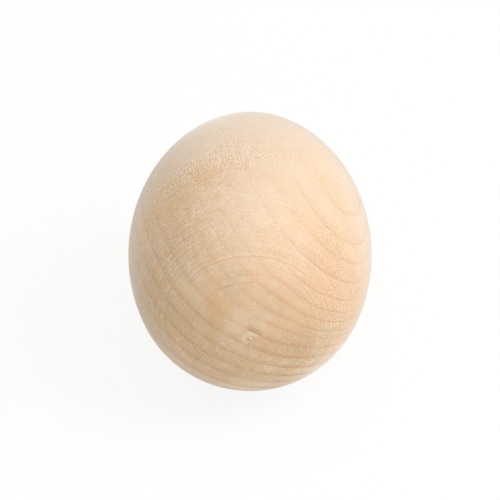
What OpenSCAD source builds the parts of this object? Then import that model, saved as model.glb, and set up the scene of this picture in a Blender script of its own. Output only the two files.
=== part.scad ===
// Turned wooden egg, one solid.
// It lies on its side as it comes to rest, with its axis in the YZ plane, its blunt end towards -Y
// and its pointed end a little lower. The origin is on the surface below the middle of its length.

/* [Shape] */
// Diameter at the belly, the widest place
belly_d = 44.5; // [43:0.5:54]
// Length from the belly to the blunt end
blunt_len = 28.25; // [23:0.25:36]
// Length from the belly to the pointed end
tip_len = 35.25; // [26:0.25:50]
// Radius of the round cap at the blunt end
blunt_cap_r = 21.25; // [10:0.25:21.25]
// Radius of the round cap at the pointed end
tip_cap_r = 15.75; // [6:0.25:21]

/* [Turning marks] */
// Distances of the turned rings from the blunt end, along the axis
ring_at = [3.4, 5.4, 7.3, 10.4]; // [2.5:0.1:20]
// Width of a turned ring
ring_w = 0.4; // [0.2:0.05:0.8]
// Depth of a turned ring
ring_depth = 0.05; // [0.02:0.01:0.15]
// Diameter of the scar where the stub was cut off, at the blunt end
scar_d = 1.6; // [0.8:0.1:3]
// Depth of the scar
scar_depth = 0.12; // [0.05:0.01:0.3]

/* [Hidden] */
$fn = 180;
belly_r = belly_d / 2;

// Each half is a flank arc, upright at the belly, that runs on into a cap centred on the axis.
// The flank's centre lies in the belly plane, so its radius follows from the cap it has to touch.
function flank_r(len, cap_r) =
    (len ^ 2 + belly_r ^ 2 - 2 * cap_r * len) / (2 * (belly_r - cap_r));
// How far beyond the axis the flank's centre lies
function flank_offset(len, cap_r) = flank_r(len, cap_r) - belly_r;
// Distance from the belly to the cap's centre
function cap_at(len, cap_r) = len - cap_r;
// Distance from the belly to the place where flank and cap touch
function join_at(len, cap_r) =
    cap_at(len, cap_r) * (1 + cap_r / (flank_r(len, cap_r) - cap_r));

// Volume of a half over PI, and its first moment about the belly plane over PI
function flank_volume(fr, c, y) =
    (fr ^ 2 + c ^ 2) * y - y ^ 3 / 3 - c * (y * sqrt(fr ^ 2 - y ^ 2) + fr ^ 2 * asin(y / fr) * PI / 180);
function flank_moment(fr, c, y) =
    (fr ^ 2 + c ^ 2) * y ^ 2 / 2 - y ^ 4 / 4 + 2 * c / 3 * ((fr ^ 2 - y ^ 2) ^ 1.5 - fr ^ 3);
function cap_volume(r, h) = h ^ 2 * (r - h / 3);
function cap_moment(r, h, at) = at * cap_volume(r, h) + (2 * r * h - h ^ 2) ^ 2 / 4;
function half_volume(len, cap_r) =
    flank_volume(flank_r(len, cap_r), flank_offset(len, cap_r), join_at(len, cap_r))
    + cap_volume(cap_r, len - join_at(len, cap_r));
function half_moment(len, cap_r) =
    flank_moment(flank_r(len, cap_r), flank_offset(len, cap_r), join_at(len, cap_r))
    + cap_moment(cap_r, len - join_at(len, cap_r), cap_at(len, cap_r));

// The centre of mass lies this far from the belly towards the pointed end
balance_at = (half_moment(tip_len, tip_cap_r) - half_moment(blunt_len, blunt_cap_r))
    / (half_volume(tip_len, tip_cap_r) + half_volume(blunt_len, blunt_cap_r));
// It comes to rest straight below the centre of the flank that the egg lies on
rest_offset = balance_at >= 0
    ? flank_offset(tip_len, tip_cap_r)
    : flank_offset(blunt_len, blunt_cap_r);
rest_tilt = atan(balance_at / rest_offset);
// Height of the belly's centre above the surface
belly_z = (rest_offset + belly_r) - rest_offset * cos(rest_tilt);
// Distance from the belly's centre to the middle of the length, as it lies
middle_y = ((cap_at(tip_len, tip_cap_r) - cap_at(blunt_len, blunt_cap_r)) * cos(rest_tilt)
    + tip_cap_r - blunt_cap_r) / 2;

// A ring or scar is cut by a round tool edge of this radius
function edge_r(w, depth) = (w ^ 2 / 4 + depth ^ 2) / (2 * depth);
// Point of the blunt half's outline at a distance from the belly, moved outwards along its normal
function outline_point(y, out) =
    let (
        on_cap = y > join_at(blunt_len, blunt_cap_r),
        r = on_cap ? blunt_cap_r : flank_r(blunt_len, blunt_cap_r),
        centre = on_cap
            ? [0, cap_at(blunt_len, blunt_cap_r)]
            : [-flank_offset(blunt_len, blunt_cap_r), 0],
        across = sqrt(r ^ 2 - (y - centre[1]) ^ 2)
    )
    centre + [across, y - centre[1]] * (1 + out / r);

// Half of the outline beside the axis, with the belly on the X axis and the end towards +Y
module half_outline(len, cap_r) {
    join = join_at(len, cap_r);
    intersection() {
        translate([-flank_offset(len, cap_r), 0]) circle(r = flank_r(len, cap_r));
        square([belly_r, join]);
    }
    intersection() {
        translate([0, cap_at(len, cap_r)]) circle(r = cap_r);
        translate([0, join]) square([belly_r, len - join]);
    }
}

module turning_marks() {
    for (at = ring_at)
        translate(outline_point(blunt_len - at, edge_r(ring_w, ring_depth) - ring_depth))
            circle(r = edge_r(ring_w, ring_depth));
    translate([0, blunt_len + edge_r(scar_d, scar_depth) - scar_depth])
        circle(r = edge_r(scar_d, scar_depth));
}

module egg_outline() {
    difference() {
        half_outline(blunt_len, blunt_cap_r);
        turning_marks();
    }
    mirror([0, 1]) half_outline(tip_len, tip_cap_r);
}

module egg() {
    color([0.86, 0.74, 0.6])
        translate([0, -middle_y, belly_z])
            rotate([90 - rest_tilt, 0, 0])
                rotate_extrude() egg_outline();
}

egg();
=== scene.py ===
import math

import bpy
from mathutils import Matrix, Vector, noise


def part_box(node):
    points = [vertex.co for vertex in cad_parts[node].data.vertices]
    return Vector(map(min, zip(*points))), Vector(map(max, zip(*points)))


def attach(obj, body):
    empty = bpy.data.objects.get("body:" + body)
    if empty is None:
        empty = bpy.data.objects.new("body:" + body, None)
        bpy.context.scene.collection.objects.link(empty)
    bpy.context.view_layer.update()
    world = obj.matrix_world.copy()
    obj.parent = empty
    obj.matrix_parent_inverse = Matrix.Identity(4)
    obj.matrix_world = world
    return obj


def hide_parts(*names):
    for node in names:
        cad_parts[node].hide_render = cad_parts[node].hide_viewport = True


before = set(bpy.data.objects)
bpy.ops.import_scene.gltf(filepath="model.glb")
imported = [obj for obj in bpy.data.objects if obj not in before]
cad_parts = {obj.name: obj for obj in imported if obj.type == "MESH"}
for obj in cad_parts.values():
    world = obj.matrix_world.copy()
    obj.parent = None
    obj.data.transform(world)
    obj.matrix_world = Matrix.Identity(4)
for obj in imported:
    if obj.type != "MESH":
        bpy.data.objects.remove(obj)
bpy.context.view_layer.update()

mm = 0.001  # sizes below are in millimetres, the scene is in metres

# The egg's own axes: X to the right, Y along the axis towards the pointed end, Z upwards.
# They start at the centre of the belly.
eggShape = {
    "bluntLen": 28.25,  # from the belly to the blunt end
    "tipLen": 35.25,  # from the belly to the pointed end
    "bluntCap": 21.25,  # radius of the round cap at the blunt end
    "tipCap": 15.75,  # radius of the round cap at the pointed end
    "restTilt": 4.347,  # degrees that the pointed end hangs below level
    "facesAround": 288,
    "faceLen": 0.7,  # length of a face along the outline
    "fineLen": 0.1,  # the same in a turned ring and round the scar
    "weld": 0.005,  # points nearer than this become one
}
boxLow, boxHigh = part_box("egg")
bellyRadius = (boxHigh.x - boxLow.x) / 2 / mm


def flankRadius(length, capRadius):
    # the flank is upright at the belly and touches the cap
    return (length**2 + bellyRadius**2 - 2 * capRadius * length) / (2 * (bellyRadius - capRadius))


def eggArcs():
    # each arc: centre along the axis and across it, radius, and where its normal starts and ends,
    # as an angle from the blunt end
    bluntFlank = flankRadius(eggShape["bluntLen"], eggShape["bluntCap"])
    tipFlank = flankRadius(eggShape["tipLen"], eggShape["tipCap"])
    bluntCentre = eggShape["bluntLen"] - eggShape["bluntCap"]
    tipCentre = eggShape["tipLen"] - eggShape["tipCap"]
    bluntJoin = math.atan2(bluntFlank - bellyRadius, bluntCentre)
    tipJoin = math.pi - math.atan2(tipFlank - bellyRadius, tipCentre)
    return [
        (-bluntCentre, 0, eggShape["bluntCap"], 0, bluntJoin),
        (0, bellyRadius - bluntFlank, bluntFlank, bluntJoin, math.pi / 2),
        (0, bellyRadius - tipFlank, tipFlank, math.pi / 2, tipJoin),
        (tipCentre, 0, eggShape["tipCap"], tipJoin, math.pi),
    ]


def arcLength(arc):
    centreY, centreR, radius, start, end = arc
    return radius * (end - start)


def outlineAt(along):
    # place along the axis, radius and normal, at a distance from the blunt end along the outline
    arcs = eggArcs()
    for arc in arcs:
        if along <= arcLength(arc) or arc is arcs[-1]:
            break
        along -= arcLength(arc)
    centreY, centreR, radius, start, end = arc
    angle = min(start + along / radius, end)
    normal = Vector((-math.cos(angle), math.sin(angle)))
    return Vector((centreY, centreR)) + radius * normal, normal


# Rings left by the turning tool: distance from the blunt end along the outline, width, depth,
# how much the colour darkens in it as painted shade and brightens beside it as a painted
# highlight, and the side where it is faint, in degrees round the egg from the top
turnedRings = [
    (10.8, 0.45, 0.012, 0.46, 0.08, 40),
    (12.2, 0.50, 0.016, 0.24, 0.03, -65),
    (14.2, 0.30, 0.010, 0.00, 0.24, 180),
    (15.4, 0.32, 0.030, 0.28, 0.20, 180),
    (18.2, 0.35, 0.012, 0.14, 0.00, 0),
    (22.0, 0.35, 0.012, 0.19, 0.12, 10),
    (27.9, 0.40, 0.012, 0.17, 0.02, 10),
]
# Fainter lines of the tool between them: distance from the blunt end, width, and how much they
# bleach the wood, or darken it below 0
toolLines = [
    (8.3, 0.9, 0.06),
    (12.85, 0.5, -0.10),
    (13.3, 0.4, 0.07),
    (13.7, 0.5, 0.07),
    (14.85, 0.4, 0.07),
    (16.8, 0.5, -0.10),
    (17.7, 0.5, 0.16),
    (19.0, 0.5, -0.06),
    (20.4, 0.7, 0.11),
    (23.7, 0.5, -0.09),
    (24.7, 0.5, -0.06),
    (26.3, 0.8, 0.12),
    (29.5, 0.7, 0.05),
    (31.8, 0.6, -0.05),
]
scar = {
    "radius": 0.8,  # the stub was cut off here
    "depth": 0.12,
    "tornRadius": 1.2,  # its torn fibres reach this far
    "crumb": 0.09,  # their height
    "crumbSize": 0.28,
    "crumbNoise": (0.6, 2, 3),  # roughness, how much finer each layer is, and layers
    "highest": 0.02,  # nothing stands out of the egg by more
    "reach": 3.4,  # the outline is fine up to here
    "gouge": ((-1.0, 2.5), (2.3, 0.7)),  # ends of the torn groove beside it
    "gougeWidth": 1.1,  # on its shallow side
    "gougeEdge": 0.3,  # on its steep side, towards the scar
    "gougeDepth": 0.045,
    "lip": ((-0.9, 2.05), (1.7, 0.6)),  # ends of the burr along the groove
    "lipWidth": 0.24,
    "lipHeight": 0.015,
}


def ringDepth(along):
    depth = 0
    for at, width, most, *_ in turnedRings:
        across = (along - at) / (width / 2)
        if abs(across) < 1:
            depth += most * (1 - across**2) ** 2
    return depth


def scarDepth(along):
    across = along / scar["radius"]
    return scar["depth"] * (1 - across**2) ** 2 if across < 1 else 0


def outlineStations():
    total = sum(arcLength(arc) for arc in eggArcs())
    along, stations = 0, [0]
    while along < total - eggShape["faceLen"]:
        inRing = any(abs(along - at) < width for at, width, *_ in turnedRings)
        fine = inRing or along < scar["reach"]
        along += eggShape["fineLen"] if fine else eggShape["faceLen"]
        stations.append(along)
    return stations + [total]


def nearLine(ends, x, z, widthAbove, widthBelow):
    # how full a short mark on the blunt end is at a place, less towards its sides and ends
    start, end = (Vector(point) for point in ends)
    way = end - start
    offset = Vector((x, z)) - start
    share = max(0, min(1, offset.dot(way) / way.length_squared))
    away = (offset - way * share).length
    width = widthAbove if way.cross(offset) > 0 else widthBelow
    taper = 1 - abs(2 * share - 1) ** 3
    return taper * max(0, 1 - (away / width) ** 2)


def grooveAt(x, z):
    return nearLine(scar["gouge"], x, z, scar["gougeWidth"], scar["gougeEdge"])


def burrAt(x, z):
    return nearLine(scar["lip"], x, z, scar["lipWidth"], scar["lipWidth"])


def tearEnd(vertex):
    # torn end grain in the scar, and the groove beside it
    x, y, z = vertex.co / mm
    radius = math.hypot(x, z)
    if y > 0 or radius > scar["reach"]:
        return
    push = 0
    if radius < scar["tornRadius"]:
        edge = 1 - (radius / scar["tornRadius"]) ** 2
        rough = noise.fractal(Vector((x, y, z)) / scar["crumbSize"], *scar["crumbNoise"])
        push -= scar["crumb"] * edge * rough
    push += scar["gougeDepth"] * grooveAt(x, z) - scar["lipHeight"] * burrAt(x, z)
    vertex.co.y += max(push, -scar["highest"]) * mm


def selectNone():
    bpy.ops.object.select_all(action="DESELECT")


def makeEgg():
    selectNone()
    start, _ = outlineAt(0)
    bpy.ops.mesh.primitive_plane_add(size=mm, location=(0, 0, 0))
    egg = bpy.context.object
    egg.name = "turnedEgg"
    bpy.ops.object.mode_set(mode="EDIT")
    bpy.ops.mesh.select_all(action="SELECT")
    bpy.ops.mesh.merge(type="CENTER")
    bpy.ops.transform.translate(value=(0, start.x * mm, 0))
    last = Vector((start.x, 0))
    for along in outlineStations()[1:]:
        point, normal = outlineAt(along)
        point -= normal * (ringDepth(along) + scarDepth(along))
        step = (point - last) * mm
        bpy.ops.mesh.extrude_region_move(TRANSFORM_OT_translate={"value": (0, step.x, step.y)})
        last = point
    bpy.ops.mesh.select_all(action="SELECT")
    bpy.ops.mesh.spin(
        steps=eggShape["facesAround"], angle=2 * math.pi, center=(0, 0, 0), axis=(0, 1, 0)
    )
    bpy.ops.mesh.select_all(action="SELECT")
    bpy.ops.mesh.remove_doubles(threshold=eggShape["weld"] * mm)
    bpy.ops.mesh.normals_make_consistent(inside=False)
    bpy.ops.object.mode_set(mode="OBJECT")
    for vertex in egg.data.vertices:
        tearEnd(vertex)
    egg.location, egg.rotation_euler = bellyCentre(), restTurn()
    bpy.ops.object.transform_apply(location=True, rotation=True, scale=True)
    bpy.ops.object.shade_smooth()
    print("egg turned:", len(egg.data.polygons), "faces")
    return egg


def restTurn():
    return (-math.radians(eggShape["restTilt"]), 0, 0)


def bellyCentre():
    tilt = math.radians(eggShape["restTilt"])
    bluntCentre = (eggShape["bluntLen"] - eggShape["bluntCap"]) * math.cos(tilt)
    tipFlank = flankRadius(eggShape["tipLen"], eggShape["tipCap"])
    height = tipFlank - (tipFlank - bellyRadius) * math.cos(tilt)
    return Vector(
        (
            (boxLow.x + boxHigh.x) / 2,
            boxLow.y + (bluntCentre + eggShape["bluntCap"]) * mm,
            boxLow.z + height * mm,
        )
    )


def markOutline(egg):
    # how far each point lies from the blunt end along the outline, for what follows the turning,
    # and how deep it lies in the torn groove, or how high on its burr below 0
    arcs = eggArcs()
    centre, tilt = bellyCentre(), math.radians(eggShape["restTilt"])
    towardsTip = Vector((0, math.cos(tilt), -math.sin(tilt)))
    upwards = Vector((0, math.sin(tilt), math.cos(tilt)))
    distance = egg.data.attributes.new("alongOutline", "FLOAT", "POINT")
    inGroove = egg.data.attributes.new("intoGroove", "FLOAT", "POINT")
    for vertex in egg.data.vertices:
        offset = (vertex.co - centre) / mm
        y = offset.dot(towardsTip)
        radius = (offset - y * towardsTip).length
        along = 0
        for arc in arcs:
            centreY, centreR, arcRadius, start, end = arc
            angle = math.atan2(radius - centreR, centreY - y)
            if angle <= end or arc is arcs[-1]:
                along += arcRadius * (angle - start)
                break
            along += arcLength(arc)
        distance.data[vertex.index].value = along
        if along < scar["reach"]:
            x, z = offset.x, offset.dot(upwards)
            inGroove.data[vertex.index].value = grooveAt(x, z) - burrAt(x, z)


def colour(red, green, blue):
    # from the 0 to 255 values of a colour picker
    def linear(value):
        value /= 255
        return value / 12.92 if value <= 0.04045 else ((value + 0.055) / 1.055) ** 2.4

    return (linear(red), linear(green), linear(blue), 1)


wood = {
    "pale": colour(241, 213, 183),
    "warm": colour(238, 205, 169),
    "tan": colour(220, 186, 145),
    "amber": colour(234, 186, 130),
    "rose": colour(228, 182, 144),
    "lateOchre": colour(207, 148, 92),
    "lateRosy": colour(206, 154, 114),
    "lateGrey": colour(190, 153, 106),
    "bleached": colour(255, 238, 216),
    "honey": colour(224, 178, 108),
    # grey wood, also used as painted shade on the lower left and low on the right
    "greyAndPaintedShade": colour(184, 160, 126),
    # brown of torn grain, also used as painted shade in the groove beside the scar
    "bruiseAndPaintedShade": colour(168, 124, 74),
    # cream of the crumbs, also used as painted light under the egg
    "creamAndPaintedLight": colour(255, 231, 196),
    "straw": colour(255, 234, 204),
    "hueDrift": (-0.005, 0.01, -0.06),  # most change of red, green and blue from patch to patch
    "grainContrast": (0.203, 0.235, 0.283),  # the same from pore to fibre
    "roughness": 0.42,
    "sheen": 0.7,
    "sheenRoughness": 0.35,
    "relief": 0.03,  # height of the bump
    "reliefStrength": 0.5,
    "grainRelief": 0.5,  # shares of the grain, the tool's rings and the torn fibres in it
    "toolRelief": -0.4,
    "fuzzRelief": 0.5,
}


class NodeKit:
    def __init__(self, tree):
        self.tree = tree

    def add(self, kind, inputs=(), **settings):
        node = self.tree.nodes.new(kind)
        for name, value in settings.items():
            setattr(node, name, value)
        for name, value in dict(inputs).items():
            self.put(node.inputs[name], value)
        return node

    def put(self, socket, value):
        if isinstance(value, bpy.types.NodeSocket):
            self.tree.links.new(value, socket)
        else:
            socket.default_value = value

    def calc(self, operation, *values):
        node = self.add("ShaderNodeMath", operation=operation)
        for socket, value in zip(node.inputs, values):
            self.put(socket, value)
        return node.outputs[0]

    def inTurn(self, operation, values):
        result = values[0]
        for value in values[1:]:
            result = self.calc(operation, result, value)
        return result

    def total(self, *values):
        return self.inTurn("ADD", values)

    def product(self, *values):
        return self.inTurn("MULTIPLY", values)

    def most(self, *values):
        return self.inTurn("MAXIMUM", values)

    def noise(self, vector, detail, roughness):
        inputs = {"Vector": vector, "Scale": 1, "Detail": detail, "Roughness": roughness}
        return self.add("ShaderNodeTexNoise", inputs).outputs["Fac"]

    def noiseOfNumber(self, number, scale, detail, roughness):
        inputs = {"W": number, "Scale": scale, "Detail": detail, "Roughness": roughness}
        return self.add("ShaderNodeTexNoise", inputs, noise_dimensions="1D").outputs["Fac"]

    def remap(self, value, low, high, newLow=0, newHigh=1, smooth=True):
        inputs = {
            "Value": value,
            "From Min": low,
            "From Max": high,
            "To Min": newLow,
            "To Max": newHigh,
        }
        style = "SMOOTHSTEP" if smooth else "LINEAR"
        return self.add("ShaderNodeMapRange", inputs, interpolation_type=style).outputs[0]

    def between(self, share, atNone, atFull):
        return self.remap(share, 0, 1, atNone, atFull)

    def shift(self, noise, most):
        # a noise as a shift either way
        return self.remap(noise, 0, 1, -most, most, smooth=False)

    def swing(self, noise):
        # a noise from -1 to 1, as it seldom leaves its middle half
        return self.remap(noise, 0.25, 0.75, -1, 1, smooth=False)

    def hump(self, value, centre, halfWidth):
        # 1 at the centre, falling smoothly to 0 at half the width
        away = self.calc("ABSOLUTE", self.calc("SUBTRACT", value, centre))
        return self.remap(away, halfWidth, 0)

    def curve(self, value, low, high, heights):
        # smoothly through evenly spaced heights, the first at low and the last at high
        share = self.remap(value, low, high, smooth=False)
        node = self.add("ShaderNodeFloatCurve", {"Value": share})
        node.mapping.use_clip = False
        points = node.mapping.curves[0].points
        for number in range(1, len(heights) - 1):
            points.new(number / (len(heights) - 1), 0)
        for point, height in zip(points, heights):
            point.location.y = height
        node.mapping.update()
        return node.outputs[0]

    def mix(self, factor, first, second, blend="MIX"):
        inputs = {"Factor": factor, 6: first, 7: second}
        return self.add("ShaderNodeMix", inputs, data_type="RGBA", blend_type=blend).outputs[2]

    def toward(self, tint, hue, *shares):
        # the tint, drawn towards one of the wood's colours
        return self.mix(self.product(*shares), tint, wood[hue])

    def shade(self, tint, swing, contrast):
        # the tint, brightened or darkened by a share of each colour
        inputs = {0: swing, 1: contrast, 2: (1, 1, 1)}
        change = self.add("ShaderNodeVectorMath", inputs, operation="MULTIPLY_ADD").outputs[0]
        return self.mix(1, tint, change, blend="MULTIPLY")


def eggPlaces(kit):
    # where a point lies on the egg, in millimetres and degrees
    settings = {
        "Vector": kit.add("ShaderNodeTexCoord").outputs["Object"],
        "Location": bellyCentre(),
        "Rotation": restTurn(),
        "Scale": (mm, mm, mm),
    }
    point = kit.add("ShaderNodeMapping", settings, vector_type="TEXTURE").outputs[0]
    right, tipward, up = kit.add("ShaderNodeSeparateXYZ", {"Vector": point}).outputs
    return {
        "point": point,
        "right": right,
        "tipward": tipward,
        "up": up,
        "radius": kit.calc("SQRT", kit.total(kit.product(right, right), kit.product(up, up))),
        "around": kit.calc("DEGREES", kit.calc("ARCTAN2", right, up)),  # from the top
        "along": kit.add("ShaderNodeAttribute", attribute_name="alongOutline").outputs["Fac"],
    }


# Parts of the egg's skin. Each is made of fades and humps along the directions that eggPlaces names.
# A fade goes from 0 at its first place to 1 at its second, or between two amounts if it has them.
# A hump has a centre and half of its width.
zones = {
    # for the growth lines
    "rightHalf": [("fade", "right", 5, 13)],
    "lineStart": [("fade", "right", 5, 12, 0.95, 0.91)],  # share of a year at which the next line shows
    "crispLines": [("fade", "right", 6, 12), ("fade", "up", 12, 4)],
    "faintestLine": [("fade", "right", 2, 9, 0.6, 0.85)],
    "overTop": [("hump", "around", 0, 85)],
    "pastBelly": [("fade", "along", 28, 38)],
    "endGrain": [("fade", "radius", 15, 8.5, 0, 0.6)],
    "underneath": [
        ("fade", "up", 4, -8),
        ("fade", "right", 14, 8),
        ("fade", "right", -9, -15, 1, 0.4),
    ],
    "upperEnd": [("fade", "along", 15, 26), ("fade", "up", 2, 10)],
    "farLeft": [("fade", "right", -3, -12)],
    "behindShoulder": [("fade", "along", 17, 24, 1, 0.5)],
    "rightFlank": [("fade", "around", 5, 50, 0.35, 1.3)],
    "leftFlank": [("fade", "around", -42, -65, 0, 0.85)],
    "rightRim": [("fade", "right", 14.5, 19), ("fade", "up", 10, 5)],
    "rosySide": [("fade", "right", 2, 9)],
    "boldRight": [("hump", "right", 9, 10), ("fade", "up", 2, -5, 0.25, 0.58)],
    "boldLeft": [("fade", "right", -2, -9, 0, 0.19), ("fade", "along", 16, 25, 1, 0)],
    "gleam": [("fade", "right", 6, 12, 0.15, 0.06)],
    # for the wood's tone and mottling
    "bluntHalf": [("fade", "along", 36, 22)],
    "drawnSide": [("fade", "right", 5, -8), ("fade", "along", 11, 16), ("fade", "along", 44, 34)],
    "softMottling": [("fade", "radius", 18, 10, 0.1, 0.22), ("fade", "right", 3, 10, 1, 0.5)],
    # for the tool's fine rings
    "toolShoulder": [("hump", "along", 17, 5)],
    "toolLeft": [("fade", "right", 0, -12), ("hump", "along", 25, 11)],
    "toolRight": [("fade", "right", 4, 9), ("hump", "along", 12.5, 6)],
    "toolUpperLeft": [("hump", "along", 21, 9), ("hump", "around", -50, 40)],
    # for the torn fibres over the top
    "fibreCore": [("hump", "around", -28, 52)],
    "fibreSkirt": [("hump", "around", -15, 85)],
    "fibreStreak": [("hump", "right", -0.6, 0.7), ("hump", "along", 35.5, 3.5)],
    # for the scar
    "stub": [("fade", "along", 1.1, 0.5)],
    "stubRim": [("hump", "along", 1.2, 0.7)],
    "stubHoles": [("fade", "along", 0.9, 0.5)],
    # for the fine grain
    "coarseRight": [("fade", "right", 6, 17, 0, 1.15), ("hump", "along", 16, 20)],
    "coarseLeft": [("fade", "right", -2, -9), ("hump", "along", 24.5, 12)],
    "coarseBand": [("hump", "along", 42, 12), ("hump", "around", -25, 60)],
    "smoothTop": [("hump", "along", 31, 9), ("hump", "around", 15, 28)],
    "coarseLow": [("fade", "up", 3, -3), ("fade", "right", 1, 6), ("fade", "along", 20, 10)],
    "openSide": [("fade", "along", 11, 20)],
    "bluntFace": [("fade", "along", 20, 11), ("fade", "up", 5, -4, 0.65, 1.6)],
}


def zone(kit, place, name):
    steps = []
    for form, direction, *limits in zones[name]:
        make = kit.hump if form == "hump" else kit.remap
        steps.append(make(place[direction], *limits))
    return kit.product(*steps)


# Noise through the wood: its scale along each of the egg's axes, where it starts, its layers of
# detail and their roughness
patterns = {
    "wander": ((0.12, 0.05, 0.12), (0, 0, 0), 2, 0.5),
    "ripple": ((0.45, 0.25, 0.45), (0, 0, 0), 2, 0.5),
    "linePatches": ((0.45, 0.3, 0.45), (3, 0, 0), 3, 0.65),
    "blotches": ((0.1, 0.04, 0.1), (0, 0, 0), 2, 0.5),
    "flecks": ((0.8, 0.6, 0.8), (9, 2, 4), 3, 0.5),
    "softSpots": ((0.4, 0.3, 0.4), (2, 6, 1), 3, 0.5),
    "hues": ((0.7, 0.5, 0.7), (4, 4, 8), 3, 0.5),
    "toolPatches": ((0.14, 0.14, 0.14), (5, 5, 5), 2, 0.5),
    "ringPatches": ((0.16, 0.16, 0.16), (2, 8, 5), 2, 0.5),
    "ringSkips": ((0.5, 0.5, 0.5), (6, 1, 2), 2, 0.5),
    "bandWander": ((0.2, 0.2, 0.2), (1, 7, 3), 2, 0.5),
    "crumbs": ((3.2, 3.2, 3.2), (0.8, 0, 0.5), 2, 0.7),
    "fibres": ((5.5, 2.6, 5.5), (0, 0, 0), 2, 0.8),
    "calm": ((0.5, 0.35, 0.5), (7, 3, 9), 2, 0.5),
}
# Noise drawn out round the egg: its two directions with its scale in each, its layers of detail and
# their roughness
drawnPatterns = {
    "rays": (("along", 1.3), ("around", 0.13), 2, 0.6),
    "tangle": (("around", 0.5), ("along", 0.9), 2, 0.5),
    "broken": (("around", 0.9), ("along", 1.1), 1, 0.5),
    "specks": (("around", 1.1), ("along", 2.4), 2, 0.5),
}


def pattern(kit, place, name):
    scale, start, detail, roughness = patterns[name]
    inputs = {"Vector": place["point"], "Scale": scale, "Location": start}
    return kit.noise(kit.add("ShaderNodeMapping", inputs).outputs[0], detail, roughness)


def drawnPattern(kit, place, name):
    *ways, detail, roughness = drawnPatterns[name]
    (first, firstScale), (second, secondScale) = ways
    inputs = {
        "X": kit.product(place[first], firstScale),
        "Y": kit.product(place[second], secondScale),
    }
    return kit.noise(kit.add("ShaderNodeCombineXYZ", inputs).outputs[0], detail, roughness)


# The growth rings are shells round the tree's heart. These bend them as they cross the egg.
# Heartward is the way to the heart and sideways is square to it, from the centre of the belly.
rings = {
    "facing": 37,  # heartward, in degrees from up towards the right
    "year": 2.51,  # width of a year's growth
    "first": 13.81,  # from the first year that shows to the centre
    "across": -0.233,  # slope of the shells sideways, and its change for each millimetre
    "fan": 0.0115,  # heartward,
    "fanMore": 0.0004,  # heartward again,
    "twist": 0.0037,  # and towards the blunt end
    "bow": -0.0068,  # bend of the shells sideways, and its change for each millimetre
    "bowMore": 0.00023,  # heartward
    "skew": 0.00016,  # and sideways
    "along": -0.031,  # slope of the shells towards the blunt end, and its change for each millimetre
    "lean": -0.00245,  # heartward
    "dish": -0.0011,  # and towards the blunt end
    "bulge": 1.1,  # how far the shells near the centre are pushed heartward
    "bulgeReach": 7.5,  # how far from the centre that is felt
    "wander": 0.3,  # how far noise shifts them
    "ripple": 0.1,
}

# No two summers were alike. For each year from the first that shows below the blunt end: how bold
# its line is, and how late it comes, in years, on the left and towards the right
summers = [
    (1.50, -0.10, 0.00),
    (0.90, 0.15, 0.00),
    (0.85, 0.10, -0.05),
    (0.85, 0.00, 0.10),
    (0.85, -0.10, 0.20),
    (0.85, -0.05, 0.15),
    (0.65, 0.10, 0.15),
    (0.80, 0.00, -0.10),
    (0.80, 0.05, -0.15),
    (0.70, 0.00, -0.25),
    (0.50, -0.10, -0.20),
    (0.55, 0.05, 0.05),
    (0.45, 0.05, 0.20),
    (0.42, 0.00, 0.05),
    (0.38, 0.00, 0.00),
]


def bySummer(kit, years, column):
    return kit.curve(years, 0, len(summers) - 1, [summer[column] for summer in summers])


def yearsBack(kit, place):
    # years from the first that shows, counted heartward
    facing = math.radians(rings["facing"])
    right, up, along = place["right"], place["up"], kit.product(place["tipward"], -1)
    heartward = kit.total(kit.product(right, math.sin(facing)), kit.product(up, math.cos(facing)))
    across = kit.total(kit.product(right, math.cos(facing)), kit.product(up, -math.sin(facing)))
    slope = kit.total(
        rings["across"],
        kit.product(heartward, rings["fan"]),
        kit.product(heartward, heartward, rings["fanMore"]),
        kit.product(along, rings["twist"]),
    )
    bend = kit.total(
        rings["bow"], kit.product(heartward, rings["bowMore"]), kit.product(across, rings["skew"])
    )
    rise = kit.total(
        rings["along"], kit.product(heartward, rings["lean"]), kit.product(along, rings["dish"])
    )
    distance = kit.total(
        kit.shift(pattern(kit, place, "ripple"), rings["ripple"]),
        heartward,
        kit.product(across, slope),
        kit.product(across, across, bend),
        kit.product(along, rise),
        kit.shift(pattern(kit, place, "wander"), rings["wander"]),
    )
    near = kit.calc("POWER", kit.calc("DIVIDE", distance, rings["bulgeReach"]), 2)
    bulge = kit.product(kit.calc("EXPONENT", kit.product(near, -1)), -rings["bulge"])
    years = kit.calc("DIVIDE", kit.total(distance, bulge, rings["first"]), rings["year"])
    onLeft, onRight = bySummer(kit, years, 1), bySummer(kit, years, 2)
    change = kit.product(zone(kit, place, "rightHalf"), kit.calc("SUBTRACT", onRight, onLeft))
    return kit.calc("SUBTRACT", years, kit.total(onLeft, change))


# A year's late wood. Places in the year are shares of it, counted heartward from its dark edge.
lateWood = {
    "edge": 0.02,  # the dark line is full up to here
    "softEnd": 0.15,  # end of the line, and its end where the lines are crisp
    "crispEnd": 0.1,
    "fadeEnd": 0.5,  # end of the faint colour after the line
    "softShares": (0.26, 0.3),  # how dark the line and the fade are, and the same where crisp
    "crispShares": (0.56, 0.13),
    "boldStart": 0.76,  # the wide line in the end grain starts here, before the edge,
    "boldFull": 0.03,  # is full up to here
    "boldEnd": 0.36,  # and ends here
    "boldShare": 0.32,  # how dark it is outside the zones that add to it
    "gleam": (0.91, 0.06),  # middle and half width of the pale line before the edge
    "patches": (0.3, 0.65),  # where in the noise the lines are faint and bold
    "boldest": 1.12,  # their strength where they are bold
    "tooled": 0.6,  # how much the tool's rings strengthen them
    "topFull": 0.6,  # the hump over the top counts in full from here on
    "onTop": 0.2,  # shares that are left of the lines over the top and at the right rim
    "atRim": 0.45,
    "leftBroad": (0.52, 0.1),  # how broad the lines are on the left, low down and at the upper end
}


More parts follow.
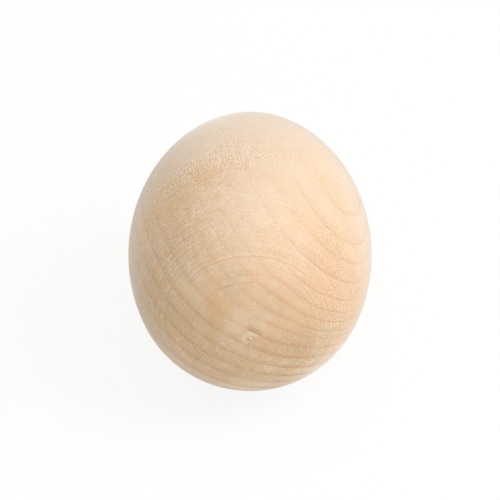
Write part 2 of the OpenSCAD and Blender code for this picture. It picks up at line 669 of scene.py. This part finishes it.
def growthLines(kit, place, tint, tooling):
    # late wood starts at a sharp edge and fades through the year; it is bold in the end grain
    look = lateWood
    years = yearsBack(kit, place)
    through = kit.calc("FRACT", years)
    before = kit.remap(through, zone(kit, place, "lineStart"), 1)
    crisp = zone(kit, place, "crispLines")
    lineEnd = kit.between(crisp, look["softEnd"], look["crispEnd"])
    line = kit.most(kit.remap(through, look["edge"], lineEnd, 1, 0), before)
    fade = kit.most(kit.remap(through, 0, look["fadeEnd"], 1, 0, smooth=False), before)
    bold = kit.most(
        kit.remap(through, look["boldFull"], look["boldEnd"], 1, 0),
        kit.remap(through, look["boldStart"], 1),
    )
    gleam = kit.hump(through, *look["gleam"])

    weakest = zone(kit, place, "faintestLine")
    patchy = kit.remap(
        pattern(kit, place, "linePatches"), *look["patches"], weakest, look["boldest"]
    )
    strength = kit.product(bySummer(kit, years, 0), patchy)
    strength = kit.product(strength, kit.total(1, kit.product(tooling, look["tooled"])))

    overTop = kit.remap(zone(kit, place, "overTop"), 0, look["topFull"])
    onTop = kit.product(zone(kit, place, "pastBelly"), overTop)
    farLeft = zone(kit, place, "farLeft")
    leftSide = kit.product(
        farLeft,
        kit.between(zone(kit, place, "upperEnd"), *look["leftBroad"]),
        zone(kit, place, "behindShoulder"),
    )
    broad = kit.most(zone(kit, place, "endGrain"), zone(kit, place, "underneath"), leftSide)
    longGrain = kit.product(
        kit.between(onTop, 1, look["onTop"]),
        kit.total(zone(kit, place, "rightFlank"), zone(kit, place, "leftFlank")),
        kit.between(zone(kit, place, "rightRim"), 1, look["atRim"]),
        kit.calc("SUBTRACT", 1, broad),
    )

    late = kit.mix(zone(kit, place, "rosySide"), wood["lateOchre"], wood["lateRosy"])
    late = kit.mix(farLeft, late, wood["lateGrey"])
    shares = [kit.between(crisp, *ends) for ends in zip(look["softShares"], look["crispShares"])]
    thin = kit.total(kit.product(line, shares[0]), kit.product(fade, shares[1]))
    tint = kit.mix(kit.product(thin, strength, longGrain), tint, late)
    deep = kit.total(
        zone(kit, place, "boldRight"), zone(kit, place, "boldLeft"), look["boldShare"]
    )
    tint = kit.mix(kit.product(bold, strength, broad, deep), tint, late)
    gleam = kit.product(gleam, zone(kit, place, "gleam"))
    return kit.toward(tint, "bleached", gleam, strength, longGrain)


# Soft patches, most of them the wood's own tone and a few painted shade and painted light: centre in
# egg axes, size, and how far they darken or bleach
woodAndPaintedLightPatches = [
    ((-7, -5.5, 20.5), 8, "amber", 0.3),
    ((-7.5, -6, 20.6), 4.5, "amber", 0.45),
    ((14, -5, 17), 6, "amber", 0.25),
    ((2, -14.5, 20), 7, "bleached", 0.3),
    ((13, -17, 12), 7, "tan", 0.2),
    ((7, -26, 4), 9, "greyAndPaintedShade", 0.13),
    ((-12.5, -12, 16.5), 4.5, "amber", 0.3),
    ((-16, -7, 14), 9, "honey", 0.5),
    ((-9.5, -7, 19.3), 6, "honey", 0.3),
    ((-1, -17.5, 18), 9, "pale", 0.75),
    ((-6, -26.3, 6), 3.5, "amber", 0.5),
    ((-2.3, -27.9, 3.8), 3, "pale", 0.55),
    ((-3, -28, -2), 4.5, "pale", 0.3),
    ((3, -27, -7), 1.6, "bleached", 0.3),
    ((14, -22, 6), 17, "rose", 0.55),
    # painted shade: darker low on the right beside the blunt end
    ((10, -26, -1), 10, "tan", 0.55),
    ((4.5, -27.5, -1), 3.5, "greyAndPaintedShade", 0.18),
    ((1.4, -28.2, -1.0), 2.8, "lateOchre", 0.24),
    ((9.1, -26, -2.9), 3, "lateOchre", 0.2),
    ((3.2, -26.8, 6.4), 6, "greyAndPaintedShade", 0.18),
    ((-1.7, -25.9, 9.7), 4, "greyAndPaintedShade", 0.16),
    ((1, -24.2, -12.4), 4, "bleached", 0.22),
    ((-8.2, -26.1, 4.6), 3, "lateOchre", 0.16),
    ((4.1, -21, 15.5), 4, "amber", 0.15),
    ((9.6, 0.8, 20.1), 4, "amber", 0.16),
    ((-9.5, -24.6, 6.5), 5, "bleached", 0.13),
    ((13.6, -23.2, -1.8), 4, "bleached", 0.15),
    ((11, -20.4, -12.2), 5, "bleached", 0.25),
    ((-6.7, -25.9, -7.1), 3.5, "pale", 0.2),
    ((-5.5, 16.5, 18.5), 9, "rose", 0.14),
    ((8.5, -20.5, 13.5), 6, "greyAndPaintedShade", 0.14),
    ((17.6, -9.2, 12.1), 4.5, "tan", 0.25),
    ((5.6, 0.8, 21.5), 4, "amber", 0.18),
    ((-11.5, -22, 9.5), 5, "bleached", 0.16),
    # painted shade: the shaded lower left, and low on the right beside the blunt end
    ((-19, -14, -2), 14, "greyAndPaintedShade", 0.52),
    ((11, -25, -3), 8, "greyAndPaintedShade", 0.2),
    # painted light: brightens the underside, in place of light thrown up from the floor
    ((-1, -22, -16), 9, "creamAndPaintedLight", 0.5),
]
timber = {
    "tanRight": 0.7,  # the wood turns tan away from the right and the top, in these shares
    "tanUp": 0.5,
    "tanEdge": (9, -13),  # where that starts and is full
    "tanWander": 9,
    "patchCore": 0.2,  # share of a patch's size where it is full
    "patchRagged": 2,
}


def timberTone(kit, place):
    # from the pale side of the wood to the tan one, with blotches and soft patches, a few of them
    # painted shade and painted light
    blotches = pattern(kit, place, "blotches")
    across = kit.total(
        kit.product(place["right"], timber["tanRight"]),
        kit.product(place["up"], timber["tanUp"]),
        kit.shift(blotches, timber["tanWander"]),
    )
    tint = kit.mix(zone(kit, place, "bluntHalf"), wood["pale"], wood["warm"])
    tint = kit.toward(tint, "tan", kit.remap(across, *timber["tanEdge"]))
    ragged = kit.shift(blotches, timber["patchRagged"])
    for centre, size, hue, most in woodAndPaintedLightPatches:
        inputs = {0: place["point"], 1: centre}
        away = kit.add("ShaderNodeVectorMath", inputs, operation="DISTANCE").outputs["Value"]
        core = timber["patchCore"] * size
        tint = kit.toward(tint, hue, kit.remap(kit.total(away, ragged), size, core, 0, most))
    return tint


# Spots of three kinds: where in the noise the pale ones start and are full, the same for the dark
# ones, and the colour of the dark ones
spots = {
    "flecks": ((0.5, 0.75), (0.5, 0.28), "amber"),
    "softSpots": ((0.5, 0.72), (0.5, 0.28), "amber"),
    "rays": ((0.48, 0.7), (0.52, 0.3), "lateOchre"),
}
mottling = {
    "flecks": 0.08,  # share of the flecks all over, and how much more on the left
    "flecksLeft": 0.18,
    "raysPale": 0.13,
    "raysDark": 0.09,
}


def addSpots(kit, tint, name, noise, paleShare, darkShare):
    pale, dark, hue = spots[name]
    tint = kit.toward(tint, "bleached", kit.remap(noise, *pale), paleShare)
    return kit.toward(tint, hue, kit.remap(noise, *dark), darkShare)


def mottled(kit, place, tint):
    # flecks where the rays of the wood come to the surface, mostly on the left, where the tool
    # drew them out round the egg
    leftSide = zone(kit, place, "drawnSide")
    share = kit.total(kit.product(leftSide, mottling["flecksLeft"]), mottling["flecks"])
    tint = addSpots(kit, tint, "flecks", pattern(kit, place, "flecks"), share, share)
    share = zone(kit, place, "softMottling")
    tint = addSpots(kit, tint, "softSpots", pattern(kit, place, "softSpots"), share, share)
    pale = kit.product(leftSide, mottling["raysPale"])
    dark = kit.product(leftSide, mottling["raysDark"])
    return addSpots(kit, tint, "rays", drawnPattern(kit, place, "rays"), pale, dark)


def hueDrift(kit, place, tint):
    # the wood is yellower and pinker in patches a millimetre or two across
    return kit.shade(tint, kit.swing(pattern(kit, place, "hues")), wood["hueDrift"])


toolMarks = {
    "fineScale": 2.6,  # fineness of the noise that makes the fine rings
    "fineRoughness": 0.7,
    "patches": (0.35, 0.65),  # where in the noise the fine rings are faint and full
    "faintPatch": 0.2,
    "elsewhere": 0.2,  # share of the fine rings outside their zones
    "upperLeft": 1.5,  # their strength on the upper left
    "dark": 0.2,  # how far the fine rings darken and bleach the wood
    "pale": 0.22,
    "ringPatches": (0.35, 0.6),  # where in the noise turnedRings and toolLines are faint and full
    "faintRingPatch": 0.25,
    "skips": (0.4, 0.58),  # where in the noise the tool skipped and where it cut clearly
    "deepInSkips": 0.8,  # share of the deepest ring that is left where it skipped
    "clearest": 1.15,
    # the dark line is painted shade in the groove, the pale line a painted highlight beside it
    "groove": 0.6,  # half width of the dark line, in widths of the ring
    "lipAt": 0.8,  # place and half width of the pale line beside it
    "lip": 0.55,
    "faintReach": 55,  # degrees to each side of where a ring is faint
    "faintShare": 0.15,
}


def toolSwing(kit, place):
    # the fine rings that the turning tool left round the blunt end, dark above 0 and pale below,
    # in patches
    fine = kit.noiseOfNumber(
        place["along"], toolMarks["fineScale"], detail=2, roughness=toolMarks["fineRoughness"]
    )
    where = kit.most(
        zone(kit, place, "toolShoulder"),
        zone(kit, place, "toolLeft"),
        zone(kit, place, "toolRight"),
    )
    elsewhere = toolMarks["elsewhere"]
    patchy = kit.remap(
        pattern(kit, place, "toolPatches"), *toolMarks["patches"], toolMarks["faintPatch"], 1
    )
    amount = kit.product(patchy, kit.total(kit.product(where, 1 - elsewhere), elsewhere))
    upperLeft = kit.product(zone(kit, place, "toolUpperLeft"), toolMarks["upperLeft"])
    return kit.product(kit.swing(fine), kit.most(amount, upperLeft))


def turningMarks(kit, place, tint, tooling):
    look = toolMarks
    tint = kit.toward(tint, "lateOchre", kit.most(kit.product(tooling, look["dark"]), 0))
    tint = kit.toward(tint, "bleached", kit.most(kit.product(tooling, -look["pale"]), 0))
    share = kit.remap(
        pattern(kit, place, "ringPatches"), *look["ringPatches"], look["faintRingPatch"], 1
    )
    skips = pattern(kit, place, "ringSkips")
    deepest = max(depth for _, _, depth, *_ in turnedRings)
    for at, width, depth, dark, light, faint in turnedRings:
        side = kit.calc("SUBTRACT", place["along"], at)
        groove = kit.hump(side, 0, look["groove"] * width)
        lip = kit.hump(side, look["lipAt"] * width, look["lip"] * width)
        turned = kit.calc("WRAP", kit.calc("SUBTRACT", place["around"], faint), 180, -180)
        faded = kit.between(kit.hump(turned, 0, look["faintReach"]), 1, look["faintShare"])
        left = look["deepInSkips"] * depth / deepest
        skipped = kit.remap(skips, *look["skips"], left, look["clearest"])
        clear = kit.product(share, faded, skipped)
        # painted shade in each ring's groove and a painted highlight on the lip beside it
        tint = kit.toward(tint, "lateOchre", groove, clear, dark)
        tint = kit.toward(tint, "bleached", lip, clear, light)
    for at, width, bleach in toolLines:
        hue = "bleached" if bleach > 0 else "lateOchre"
        tint = kit.toward(tint, hue, kit.hump(place["along"], at, width / 2), share, abs(bleach))
    return tint


# The band of torn fibres over the top. Places are along the outline.
fibreBand = {
    "middle": 39.4,  # at the top, and how much further along for each degree to the right
    "slant": 0.05,
    "wander": 4,
    "core": (0, 7),  # centre from the middle and half width of the dense core and its skirt
    "skirt": (-2, 13),
    "coreShare": 0.7,
    "skirtShare": 0.48,
    "hairsAround": 4.8,  # how fast the hairs follow on each other round the egg, and along it
    "hairsAlong": 0.5,
    "tangle": 14,  # how far the noise shifts them
    "broken": (0.4, 0.6),  # where in the noise a hair is broken and where it is whole
    "brokenShare": 0.1,
    "specks": 0.75,
    "streak": 0.4,  # share of the honey-coloured streak below the band
    "dark": 0.38,  # share of the shade between the hairs
}


def tornFibres(kit, place, tint):
    # short lifted fibres, where the tool cut against the grain
    look = fibreBand
    middle = kit.total(kit.product(place["around"], look["slant"]), look["middle"])
    away = kit.total(
        kit.calc("SUBTRACT", place["along"], middle),
        kit.shift(pattern(kit, place, "bandWander"), look["wander"]),
    )
    core = kit.product(kit.hump(away, *look["core"]), zone(kit, place, "fibreCore"))
    skirt = kit.product(kit.hump(away, *look["skirt"]), zone(kit, place, "fibreSkirt"))
    band = kit.total(kit.product(core, look["coreShare"]), kit.product(skirt, look["skirtShare"]))
    phase = kit.total(
        kit.product(place["around"], look["hairsAround"]),
        kit.product(place["along"], look["hairsAlong"]),
        kit.product(drawnPattern(kit, place, "tangle"), look["tangle"]),
    )
    whole = kit.remap(drawnPattern(kit, place, "broken"), *look["broken"], look["brokenShare"], 1)
    specks = kit.swing(drawnPattern(kit, place, "specks"))
    hair = kit.total(
        kit.product(kit.calc("SINE", phase), whole), kit.product(specks, look["specks"])
    )
    light = kit.product(kit.remap(hair, 0, 1), band)
    dark = kit.product(kit.remap(hair, 0, -1), band)
    tint = kit.toward(tint, "honey", zone(kit, place, "fibreStreak"), look["streak"])
    tint = kit.toward(tint, "lateOchre", dark, look["dark"])
    return kit.toward(tint, "straw", light), kit.product(band, hair)


scarLook = {
    "diagonal": 0.7,  # share of up and of left in the diagonal along which the rim turns pale
    "rimLimits": (-0.5, 0.8),  # where that starts and is full
    "rimLeast": 0.1,
    "crumbLimits": (0.42, 0.55),  # where in the noise crumbs start and are full, and then holes
    "holeLimits": (0.48, 0.42),
    "grooveLimits": (0, 0.9),  # how deep in the groove the colour starts and is full
    "burrLimits": (0, -0.8),
    "groove": 0.36,  # share of each colour where it is full
    "burr": 0.32,
    "rim": 0.3,
    "crumbs": 0.95,
    "holes": 0.9,
}


def cutEnd(kit, place, tint):
    # the stub of the blunt end: pale crumbs in a pale rim, and the dark groove beside it, brown torn
    # grain darkened further as painted shade, with a painted highlight along its burr
    look = scarLook
    crumbs = pattern(kit, place, "crumbs")
    pieces = kit.remap(crumbs, *look["crumbLimits"])
    gaps = kit.remap(crumbs, *look["holeLimits"])
    upLeft = kit.total(
        kit.product(place["up"], look["diagonal"]), kit.product(place["right"], -look["diagonal"])
    )
    rimSide = kit.remap(upLeft, *look["rimLimits"], look["rimLeast"], 1)
    torn = kit.add("ShaderNodeAttribute", attribute_name="intoGroove").outputs["Fac"]
    # brown torn grain in the groove, darkened further as painted shade
    tint = kit.toward(tint, "bruiseAndPaintedShade", kit.remap(torn, *look["grooveLimits"], 0, look["groove"]))
    # a painted highlight along the burr
    tint = kit.toward(tint, "bleached", kit.remap(torn, *look["burrLimits"], 0, look["burr"]))
    tint = kit.toward(tint, "bleached", zone(kit, place, "stubRim"), rimSide, look["rim"])
    tint = kit.toward(tint, "creamAndPaintedLight", zone(kit, place, "stub"), pieces, look["crumbs"])
    return kit.toward(tint, "bruiseAndPaintedShade", zone(kit, place, "stubHoles"), gaps, look["holes"])


# How much each zone adds to the fine grain
grainShares = {
    "coarseRight": 0.85,
    "coarseLeft": 0.55,
    "coarseBand": 0.75,
    "smoothTop": -0.4,
    "coarseLow": 0.35,
    "openSide": 0.82,
    "bluntFace": 1,
}
calmPatches = {
    "limits": (0.36, 0.64),  # where in the noise the grain is calmest and roughest
    "calmest": 0.75,
    "roughest": 1.3,
}


def fineGrain(kit, place, tint):
    # pores and cut fibres, too fine to tell apart, coarser on the right where the grain rises
    shares = grainShares.items()
    amount = kit.total(*(kit.product(zone(kit, place, name), share) for name, share in shares))
    calm = kit.remap(
        pattern(kit, place, "calm"),
        *calmPatches["limits"],
        calmPatches["calmest"],
        calmPatches["roughest"],
    )
    swing = kit.product(kit.swing(pattern(kit, place, "fibres")), kit.product(amount, calm))
    return kit.shade(tint, swing, wood["grainContrast"]), swing


def makeWood():
    material = bpy.data.materials.new("paleTurnedWood")
    material.use_nodes = True
    tree = material.node_tree
    tree.nodes.clear()
    kit = NodeKit(tree)
    place = eggPlaces(kit)

    tooling = toolSwing(kit, place)
    tint = timberTone(kit, place)
    tint = mottled(kit, place, tint)
    tint = hueDrift(kit, place, tint)
    tint = growthLines(kit, place, tint, tooling)
    tint = turningMarks(kit, place, tint, tooling)
    tint, fuzz = tornFibres(kit, place, tint)
    tint, fibres = fineGrain(kit, place, tint)
    tint = cutEnd(kit, place, tint)

    height = kit.total(
        kit.product(fibres, wood["grainRelief"]),
        kit.product(tooling, wood["toolRelief"]),
        kit.product(fuzz, wood["fuzzRelief"]),
    )
    inputs = {
        "Height": height,
        "Strength": wood["reliefStrength"],
        "Distance": wood["relief"] * mm,
    }
    bump = kit.add("ShaderNodeBump", inputs)
    inputs = {
        "Base Color": tint,
        "Roughness": wood["roughness"],
        "Sheen Weight": wood["sheen"],
        "Sheen Roughness": wood["sheenRoughness"],
        "Normal": bump.outputs[0],
    }
    shader = kit.add("ShaderNodeBsdfPrincipled", inputs)
    kit.add("ShaderNodeOutputMaterial", {"Surface": shader.outputs[0]})
    print("wood finished:", len(tree.nodes), "nodes")
    return material


# The floor looks white and still takes the egg's shadow, but throws less light back up at it
stagePlan = {
    "radius": 3,  # metres
    "sides": 96,
    "white": (1, 1, 1, 1),
    "bounce": (0.78, 0.76, 0.68, 1),
    "glow": 0.88,
}


def seenDirectly(kit):
    # 1 for what the camera sees, and 0 for light on its way to something else
    path = kit.add("ShaderNodeLightPath").outputs
    return kit.most(path["Is Camera Ray"], path["Is Transmission Ray"], path["Is Glossy Ray"])


def makeStage():
    selectNone()
    bpy.ops.mesh.primitive_circle_add(
        vertices=stagePlan["sides"],
        radius=stagePlan["radius"],
        fill_type="NGON",
        location=(0, 0, boxLow.z),
    )
    floor = bpy.context.object
    floor.name = "whiteFloor"
    material = bpy.data.materials.new("whiteFloor")
    material.use_nodes = True
    tree = material.node_tree
    tree.nodes.clear()
    kit = NodeKit(tree)
    seen = seenDirectly(kit)
    tone = kit.mix(seen, stagePlan["bounce"], stagePlan["white"])
    paper = kit.add("ShaderNodeBsdfDiffuse", {"Color": tone})
    glow = kit.add("ShaderNodeEmission", {"Color": stagePlan["white"], "Strength": 1})
    share = kit.product(seen, stagePlan["glow"])
    inputs = {"Fac": share, 1: paper.outputs[0], 2: glow.outputs[0]}
    blend = kit.add("ShaderNodeMixShader", inputs)
    kit.add("ShaderNodeOutputMaterial", {"Surface": blend.outputs[0]})
    floor.data.materials.append(material)
    print("floor laid")


lightPlan = {
    "sky": (1, 1, 1, 1),
    "skyStrength": 0.668,
    "key": 5.05,
    "keySize": 0.6,
    "keyFrom": (0.70, -0.20, 0.70),
}


def makeLight():
    world = bpy.data.worlds.new("studio")
    bpy.context.scene.world = world
    world.use_nodes = True
    tree = world.node_tree
    tree.nodes.clear()
    kit = NodeKit(tree)
    strength = kit.remap(seenDirectly(kit), 0, 1, lightPlan["skyStrength"], 1, smooth=False)
    inputs = {"Color": lightPlan["sky"], "Strength": strength}
    sky = kit.add("ShaderNodeBackground", inputs)
    kit.add("ShaderNodeOutputWorld", {"Surface": sky.outputs[0]})
    selectNone()
    bpy.ops.object.light_add(type="AREA", location=lightPlan["keyFrom"])
    key = bpy.context.object
    key.name = "keyLight"
    key.data.shape = "DISK"
    key.data.size = lightPlan["keySize"]
    key.data.energy = lightPlan["key"]
    key.rotation_euler = (bellyCentre() - key.location).to_track_quat("-Z", "Y").to_euler()
    print("light set")


cameraPlan = {
    "elevation": 37.2,
    "distance": 549.4,
    "aimAbove": 0.48,  # the camera aims this far above the belly's centre, across its own view
    "lens": 216,
    "sensor": 36,
    "clip": (0.01, 20),  # metres
}


def makeCamera():
    elevation = math.radians(cameraPlan["elevation"])
    back = Vector((0, -math.cos(elevation), math.sin(elevation)))
    up = Vector((0, math.sin(elevation), math.cos(elevation)))
    aim = bellyCentre() + up * cameraPlan["aimAbove"] * mm
    bpy.ops.object.camera_add(location=aim + back * cameraPlan["distance"] * mm)
    camera = bpy.context.object
    camera.rotation_euler = (-back).to_track_quat("-Z", "Y").to_euler()
    camera.data.lens = cameraPlan["lens"]
    camera.data.sensor_width = cameraPlan["sensor"]
    camera.data.clip_start, camera.data.clip_end = cameraPlan["clip"]
    bpy.context.scene.camera = camera
    print("camera placed")


makeCamera()
makeStage()
makeLight()
bpy.context.scene.view_settings.view_transform = "Standard"

egg = makeEgg()
markOutline(egg)
egg.data.materials.append(makeWood())
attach(egg, "root")
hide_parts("egg")
